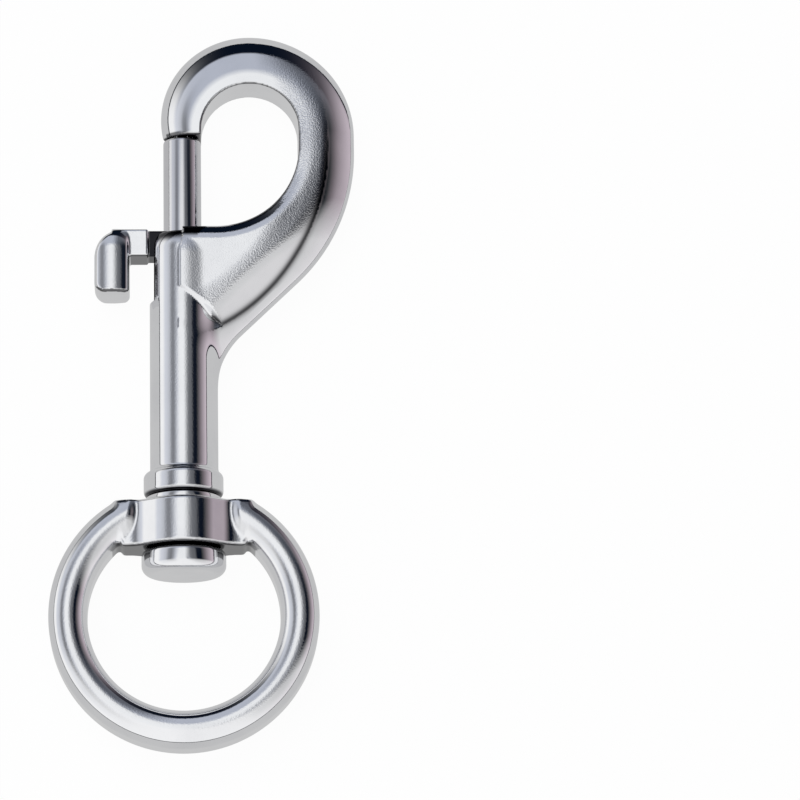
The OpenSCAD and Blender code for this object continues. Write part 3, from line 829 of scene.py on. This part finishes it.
class Socket:
    """A socket in a node tree, on which shader maths is written as an expression."""

    def __init__(self, nodes, output):
        self.nodes = nodes
        self.output = output

    def maths(self, operation, first, second):
        return self.nodes.add("ShaderNodeMath", {"operation": operation}, {0: first, 1: second})[0]

    def __add__(self, other):
        return self.maths("ADD", self, other)

    def __radd__(self, other):
        return self.maths("ADD", other, self)

    def __sub__(self, other):
        return self.maths("SUBTRACT", self, other)

    def __rsub__(self, other):
        return self.maths("SUBTRACT", other, self)

    def __mul__(self, other):
        return self.maths("MULTIPLY", self, other)

    def __rmul__(self, other):
        return self.maths("MULTIPLY", other, self)

    def __truediv__(self, other):
        return self.maths("DIVIDE", self, other)

    def __pow__(self, other):
        return self.maths("POWER", self, other)

    def most(self, other):
        return self.maths("MAXIMUM", self, other)

    def least(self, other):
        return self.maths("MINIMUM", self, other)

    def rising(self, start, slope, limit=1.0):
        """Rises from 0 at the start, with that slope, to the limit."""
        return ((self - start) * slope).most(0.0).least(limit)


class Nodes:
    """Adds nodes to one tree."""

    def __init__(self, tree):
        self.tree = tree
        tree.nodes.clear()

    def add(self, kind, settings=None, inputs=None):
        """A node of that kind, its settings, then its inputs; returns its outputs."""
        node = self.tree.nodes.new(kind)
        for name, value in (settings or {}).items():
            if name == "stops":
                self.set_stops(node.color_ramp, value)
            else:
                setattr(node, name, value)
        for name, value in (inputs or {}).items():
            if isinstance(value, Socket):
                self.tree.links.new(value.output, node.inputs[name])
            elif value is not None:
                node.inputs[name].default_value = value
        return [Socket(self, output) for output in node.outputs]

    def set_stops(self, ramp, stops):
        while len(ramp.elements) < len(stops):
            ramp.elements.new(1.0)
        for element, (position, value) in zip(ramp.elements, stops):
            element.position = position
        for element, (position, value) in zip(ramp.elements, stops):
            element.color = (*value, 1.0)

    def noise(self, where, scale, detail=2.0, roughness=0.5):
        return self.add("ShaderNodeTexNoise", {"noise_dimensions": "3D"},
                        {"Vector": where, "Scale": scale, "Detail": detail,
                         "Roughness": roughness})[0]

    def mix_colour(self, factor, first, second):
        """Inputs 6 and 7 of a Mix node hold its colours, and output 2 the result."""
        first = first if isinstance(first, Socket) else (*first, 1.0)
        second = second if isinstance(second, Socket) else (*second, 1.0)
        return self.add("ShaderNodeMix", {"data_type": "RGBA"},
                        {0: factor, 6: first, 7: second})[2]


def plated_metal(name, tint, finish, gloss, marked=False, brushed=0.0):
    """Bright plating with slow waves and fine wear, with grain where the casting is rough, and with
    painted shade from the shade mark when marked.
    """
    material = bpy.data.materials.new(name)
    material.use_nodes = True
    nodes = Nodes(material.node_tree)
    where = nodes.add("ShaderNodeTexCoord")[3]
    speck_size, stain_size = finish.grain_size / 2.4, finish.ripple_size / 0.45
    slow = nodes.noise(where, 1 / finish.ripple_size, 3.0)
    grit = nodes.noise(where, 1 / finish.grain_size, 1.5)
    specks = nodes.noise(where, 1 / speck_size, 2.0, 0.6)
    stains = nodes.noise(where, 1 / stain_size, 4.0, 0.62)
    rough_place = 0.04
    if marked:
        rough_place = nodes.add("ShaderNodeAttribute", {"attribute_name": "grain"})[2]
        shade = nodes.add("ShaderNodeAttribute", {"attribute_name": "shade"})[2]
    wear = stains.rising(0.42, 3.2)
    pits = specks.rising(0.60, 6.0)
    wear_tint, pit_tint, brush_tint = 0.16, 0.35, 0.2
    dulled = (wear * wear_tint + pits * rough_place * pit_tint + brushed * brush_tint).least(1.0)
    base = nodes.mix_colour(dulled, tint, finish.dull)
    if marked:
        # Painted shade: the shade mark mixes the base colour towards the near-black hollow colour
        base = nodes.mix_colour(shade, base, finish.hollow)
    wear_roughness, speck_depth = 0.03, finish.grain_depth * 0.35
    grained = rough_place * (finish.grain - gloss) * (grit * 0.8 + 0.6)
    roughness = gloss + grained + wear * wear_roughness
    height = (slow * finish.ripple_depth + grit * rough_place * finish.grain_depth
              + specks * rough_place * speck_depth)
    bump = nodes.add("ShaderNodeBump", None,
                     {"Strength": 1.0, "Distance": 1.0, "Height": height})[0]
    shader = nodes.add("ShaderNodeBsdfPrincipled", None,
                       {"Base Color": base, "Metallic": 1.0, "Roughness": roughness,
                        "Normal": bump})[0]
    nodes.add("ShaderNodeOutputMaterial", None, {"Surface": shader})
    return material


def dress(piece, material, slot, body, *nodes):
    """Gives the piece its material and the body that it rides on, and hides the nodes that it
    replaces; the slot is not used.
    """
    piece.data.materials.append(material)
    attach(piece, body)
    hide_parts(*nodes)


class HookSettings(bpy.types.PropertyGroup):
    barrel: PointerProperty(type=BarrelSizes)
    bow: PointerProperty(type=BowSizes)
    shield: PointerProperty(type=ShieldSizes)
    gate: PointerProperty(type=GateSizes)
    swivel: PointerProperty(type=SwivelSizes)
    eye: PointerProperty(type=EyeSizes)
    finish: PointerProperty(type=Finishes)
    painted_shade: PointerProperty(type=PaintedShadeMarks)
    stage: PointerProperty(type=StageSettings)


class BuildHookBody(bpy.types.Operator):
    """Build the barrel, collar, shield and bow as one casting"""

    bl_idname = "snap_hook.hook_body"
    bl_label = "Hook Body"

    def execute(self, context):
        sizes = context.scene.snap_hook
        field, outline = hook_field(sizes)
        collar_r = sizes.barrel.collar_d / 2
        low = (-collar_r, 0, -collar_r)
        high = (outline.out_side, outline.top_y, collar_r)

        def marks_of(points, normals):
            return hook_marks(points, normals, sizes, outline)

        piece = skin_piece("hook_casting", field, low, high, HOOK_CELL, marks_of)
        finish = sizes.finish
        metal = plated_metal("bright_plating", finish.body, finish, finish.gloss, marked=True)
        dress(piece, metal, "nickel_body", "hook", "hook_body")
        return {"FINISHED"}


class BuildEye(bpy.types.Operator):
    """Build the eye: its ring, hub and ears"""

    bl_idname = "snap_hook.eye"
    bl_label = "Eye"

    def execute(self, context):
        sizes = context.scene.snap_hook
        eye, finish = sizes.eye, sizes.finish
        out_r = eye.eye_d / 2 + eye.ring_w
        depth = max(eye.boss_d, eye.ear_depth) / 2
        low = (-out_r, -eye.hub_top - eye.eye_drop - out_r, -depth)
        high = (out_r, -eye.hub_top, depth)

        def marks_of(points, normals):
            return eye_marks(points, normals, sizes)

        piece = skin_piece("swivel_eye", eye_field(sizes), low, high, EYE_CELL, marks_of)
        metal = plated_metal("eye_plating", finish.body, finish, finish.gloss, marked=True)
        dress(piece, metal, "nickel_eye", "eye", "eye_ring")
        return {"FINISHED"}


class BuildLever(bpy.types.Operator):
    """Build the thumb lever with its arm and root"""

    bl_idname = "snap_hook.lever"
    bl_label = "Thumb Lever"

    def execute(self, context):
        sizes = context.scene.snap_hook
        gate, finish = sizes.gate, sizes.finish
        low = (-gate.tab_x, gate.tab_top - gate.tab_len, -gate.tab_depth / 2)
        high = (-gate.bolt_d / 4, gate.tab_top, gate.tab_depth / 2)

        def marks_of(points, normals):
            return lever_marks(points, normals, sizes)

        piece = skin_piece("gate_lever", lever_field(sizes), low, high, LEVER_CELL, marks_of)
        metal = plated_metal("lever_plating", finish.lever, finish, finish.gloss, marked=True)
        dress(piece, metal, "nickel_lever", "bolt", "thumb_lever")
        return {"FINISHED"}


class BuildBolt(bpy.types.Operator):
    """Build the sliding bolt with its nose"""

    bl_idname = "snap_hook.bolt"
    bl_label = "Bolt"

    def execute(self, context):
        sizes = context.scene.snap_hook
        gate, finish = sizes.gate, sizes.finish
        r, nose_r, edge = gate.bolt_d / 2, gate.nose_d / 2, gate.bolt_round
        foot, end = BOLT_LOW.y - FACE_Y, BOLT_HIGH.y - FACE_Y
        shoulder = end - gate.nose_len
        profile = [(0, foot)]
        profile += arc(r - edge, foot + edge, edge, -90, 0)
        profile += arc(r - edge, shoulder - edge, edge, 0, 90)
        profile += [(nose_r + edge / 4, shoulder)]
        profile += arc(nose_r - edge, end - edge, edge, 0, 90)
        profile += [(0, end)]
        piece = turned_piece("gate_bolt", profile)
        metal = plated_metal("bolt_steel", finish.bolt, finish, finish.gloss * 1.6, brushed=0.2)
        dress(piece, metal, "bolt_steel", "bolt", "bolt_pin")
        return {"FINISHED"}


class BuildSpring(bpy.types.Operator):
    """Build the coil spring behind the bolt"""

    bl_idname = "snap_hook.spring"
    bl_label = "Spring"

    def execute(self, context):
        sizes = context.scene.snap_hook
        gate, finish = sizes.gate, sizes.finish
        foot, top = SPRING_LOW.y - FACE_Y, SPRING_HIGH.y - FACE_Y
        piece = coil_piece("bolt_coil", gate.spring_d, gate.wire_d, gate.turns, foot, top)
        metal = plated_metal("spring_wire", finish.spring, finish, finish.gloss * 3, brushed=0.5)
        dress(piece, metal, "spring_steel", "hook", "bolt_spring")
        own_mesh(piece)
        return {"FINISHED"}


class BuildSwivel(bpy.types.Operator):
    """Build the headed stud and its washer"""

    bl_idname = "snap_hook.swivel"
    bl_label = "Stud and Washer"

    def execute(self, context):
        sizes = context.scene.snap_hook
        swivel, finish = sizes.swivel, sizes.finish
        r, head_r = swivel.shank_d / 2, swivel.head_d / 2
        low, brow = swivel.head_round, swivel.head_brow
        top = -swivel.head_top
        foot = top - swivel.head_h
        profile = [(0, foot)]
        profile += arc(head_r - low, foot + low, low, -90, 0, 16)
        profile += arc(head_r - brow, top - brow, brow, 0, 90)
        profile += [(r, top), (r, top + brow), (r, swivel.shank_top), (0, swivel.shank_top)]
        stud = turned_piece("swivel_pin", profile)
        metal = plated_metal("stud_plating", finish.body, finish, finish.gloss, brushed=0.1)
        dress(stud, metal, "nickel_stud", "hook", "swivel_stud")

        outer, inner, edge = swivel.washer_d / 2, swivel.washer_hole_d / 2, swivel.washer_round
        foot, top = WASHER_LOW.y - FACE_Y, WASHER_HIGH.y - FACE_Y
        profile = [(inner, foot)]
        profile += arc(outer - edge, foot + edge, edge, -90, 0, 6)
        profile += arc(outer - edge, top - edge, edge, 0, 90, 6)
        profile += [(inner, top)]
        washer = turned_piece("thrust_washer", profile, closed=True)
        metal = plated_metal("washer_steel", finish.washer, finish, finish.gloss * 2, brushed=0.3)
        dress(washer, metal, "washer_steel", "hook", "swivel_washer")
        return {"FINISHED"}


class BuildStage(bpy.types.Operator):
    """Build the white floor, the studio walls, the lamp and the camera"""

    bl_idname = "snap_hook.stage"
    bl_label = "Stage"

    def execute(self, context):
        stage = context.scene.snap_hook.stage
        self.floor(stage)
        self.studio(context.scene, stage)
        self.lamp(stage)
        self.camera(context.scene, stage)
        context.scene.view_settings.view_transform = "Standard"
        return {"FINISHED"}

    def floor(self, stage):
        half = stage.floor_half
        mesh = bpy.data.meshes.new("floor")
        corners = [(-half, -half, 0), (half, -half, 0), (half, half, 0), (-half, half, 0)]
        mesh.from_pydata(corners, [], [(0, 1, 2, 3)])
        floor = bpy.data.objects.new("floor", mesh)
        bpy.context.collection.objects.link(floor)
        material = bpy.data.materials.new("white_floor")
        material.use_nodes = True
        nodes = Nodes(material.node_tree)
        rays = nodes.add("ShaderNodeLightPath")
        seen, mirrored = rays[0], rays[3]
        paper = nodes.add("ShaderNodeBsdfDiffuse", None, {"Color": (*stage.floor, 1.0)})[0]
        white = nodes.add("ShaderNodeEmission", None,
                          {"Strength": seen + mirrored * stage.floor_mirrored})[0]
        plain = (seen * stage.floor_seen + mirrored).least(1.0)
        mixed = nodes.add("ShaderNodeMixShader", None, {0: plain, 1: paper, 2: white})[0]
        nodes.add("ShaderNodeOutputMaterial", None, {"Surface": mixed})
        mesh.materials.append(material)

    def walls(self, stage):
        """Colours down each wall, from 0 straight overhead to 1 level with the floor."""
        top, bright, cool = tuple(stage.zenith), tuple(stage.bright), tuple(stage.cool)
        navy, warm = tuple(stage.navy), tuple(stage.warm)
        grey = (0.97, 1.0, 1.08)

        def dimmed(level, tint=grey):
            return tuple(level * c for c in tint)

        return {
            "right": [(0.00, top), (0.06, top), (0.12, dimmed(0.36)), (0.17, dimmed(0.42)),
                      (0.23, dimmed(0.20)), (0.30, dimmed(0.15)), (0.36, dimmed(0.14)),
                      (0.42, navy), (0.54, navy), (0.585, dimmed(0.05)),
                      (0.67, dimmed(0.28, warm)), (0.76, dimmed(0.55, warm)),
                      (0.93, warm), (0.97, warm), (0.985, navy)],
            "left": [(0.00, top), (0.20, top), (0.27, dimmed(0.68)), (0.34, dimmed(0.36)),
                     (0.405, dimmed(0.21)), (0.485, dimmed(0.28)), (0.56, dimmed(0.56)),
                     (0.65, dimmed(0.68)), (0.73, dimmed(0.75)), (0.83, bright),
                     (0.965, bright), (0.985, navy)],
            "back": [(0.00, top), (0.23, top), (0.34, cool), (0.68, cool), (0.725, navy),
                     (0.985, navy)],
            "front": [(0.00, top), (0.12, bright), (0.60, bright), (0.955, bright),
                      (0.98, navy)],
        }

    def studio(self, scene, stage):
        """Walls and softboxes round the hook, as a sky: plain white to the camera."""
        world = bpy.data.worlds.new("studio")
        scene.world = world
        world.use_nodes = True
        nodes = Nodes(world.node_tree)
        where = nodes.add("ShaderNodeTexCoord")[0]
        x, y, z = nodes.add("ShaderNodeSeparateXYZ", None, {0: where})
        sharp, tiny = 4.0, 1e-6
        level = (x ** sharp + y ** sharp).most(tiny)
        from_top = nodes.add("ShaderNodeMath", {"operation": "ARCCOSINE"}, {0: z})[0] / (math.pi / 2)
        ramps = {name: nodes.add("ShaderNodeValToRGB", {"stops": stops}, {0: from_top})[0]
                 for name, stops in self.walls(stage).items()}
        right = x.most(0.0) ** sharp / level
        left = (0.0 - x).most(0.0) ** sharp / level
        back = y.most(0.0) ** sharp / level
        towards_right = x.rising(0.04, 3.0, 0.75)
        towards_front = (0.0 - y).rising(-0.02, 2.4, 0.65)
        dim_back = nodes.mix_colour(towards_right, ramps["back"], tuple(stage.navy))
        sides = nodes.mix_colour(right / (right + left).most(tiny), ramps["left"], ramps["right"])
        ends = nodes.mix_colour(back / (1.0 - right - left).most(tiny), ramps["front"], dim_back)
        colour_round = nodes.mix_colour(right + left, ends, sides)
        colour_round = nodes.mix_colour(towards_front, colour_round, ramps["front"])
        seen = nodes.add("ShaderNodeLightPath")[0]
        sky = nodes.mix_colour(seen, colour_round, (1.0, 1.0, 1.0))
        light = nodes.add("ShaderNodeBackground", None, {"Color": sky, "Strength": 1.0})[0]
        nodes.add("ShaderNodeOutputWorld", None, {"Surface": light})

    def lamp(self, stage):
        data = bpy.data.lights.new("soft_lamp", "AREA")
        data.size = stage.lamp_size
        data.energy = stage.lamp_power
        lamp = bpy.data.objects.new("soft_lamp", data)
        lamp.location = (-stage.lamp_size / 3, stage.lamp_size / 3, stage.lamp_height)
        lamp.rotation_euler = (-lamp.location).to_track_quat("-Z", "Y").to_euler()
        lamp.visible_glossy = False
        bpy.context.collection.objects.link(lamp)

    def camera(self, scene, stage):
        """Leans back from straight above, aimed beside the hook so that it stands at the left."""
        low, high = Vector(CAD_BOX[0]), Vector(CAD_BOX[1])
        target = Vector((AXIS_X, FACE_Y + stage.middle_y, (low.z + high.z) / 2))
        away = Vector((0, -math.sin(stage.tilt), math.cos(stage.tilt)))
        flat_right = Vector((1, 0, 0))
        flat_up = Vector((0, math.cos(stage.tilt), math.sin(stage.tilt)))
        right = flat_right * math.cos(stage.roll) + flat_up * math.sin(stage.roll)
        up = flat_up * math.cos(stage.roll) - flat_right * math.sin(stage.roll)
        spot = target + away * stage.distance
        frame_px = 800
        per_px = stage.distance / stage.focal_px
        aim = (target + right * (frame_px / 2 - stage.middle_px[0]) * per_px
               + up * (stage.middle_px[1] - frame_px / 2) * per_px)
        look = (spot - aim).normalized()
        side = up.cross(look).normalized()
        crown = look.cross(side)
        data = bpy.data.cameras.new("camera")
        data.lens = stage.focal_px / frame_px * data.sensor_width
        data.clip_start, data.clip_end = 0.01, 20
        camera = bpy.data.objects.new("camera", data)
        bpy.context.collection.objects.link(camera)
        turn = np.array([side, crown, look]).T
        matrix = [[*turn[i], spot[i]] for i in range(3)] + [[0, 0, 0, 1]]
        camera.matrix_world = Matrix(matrix)
        scene.camera = camera


OPERATORS = (BuildHookBody, BuildEye, BuildLever, BuildBolt, BuildSpring, BuildSwivel, BuildStage)


class SnapHookPanel(bpy.types.Panel):
    """Lists the pieces that can be built"""

    bl_idname = "VIEW3D_PT_snap_hook"
    bl_label = "Snap Hook"
    bl_space_type = "VIEW_3D"
    bl_region_type = "UI"
    bl_category = "Snap Hook"

    def draw(self, context):
        for operator in OPERATORS:
            self.layout.operator(operator.bl_idname)


CLASSES = (BarrelSizes, BowSizes, ShieldSizes, GateSizes, SwivelSizes, EyeSizes, Finishes,
           PaintedShadeMarks, StageSettings, HookSettings, *OPERATORS, SnapHookPanel)


def register():
    for cls in CLASSES:
        bpy.utils.register_class(cls)
    bpy.types.Scene.snap_hook = PointerProperty(type=HookSettings)


def unregister():
    del bpy.types.Scene.snap_hook
    for cls in reversed(CLASSES):
        bpy.utils.unregister_class(cls)


def main():
    register()
    for operator in OPERATORS:
        group, name = operator.bl_idname.split(".")
        getattr(getattr(bpy.ops, group), name)()
    bpy.context.view_layer.update()


if __name__ == "__main__":
    main()
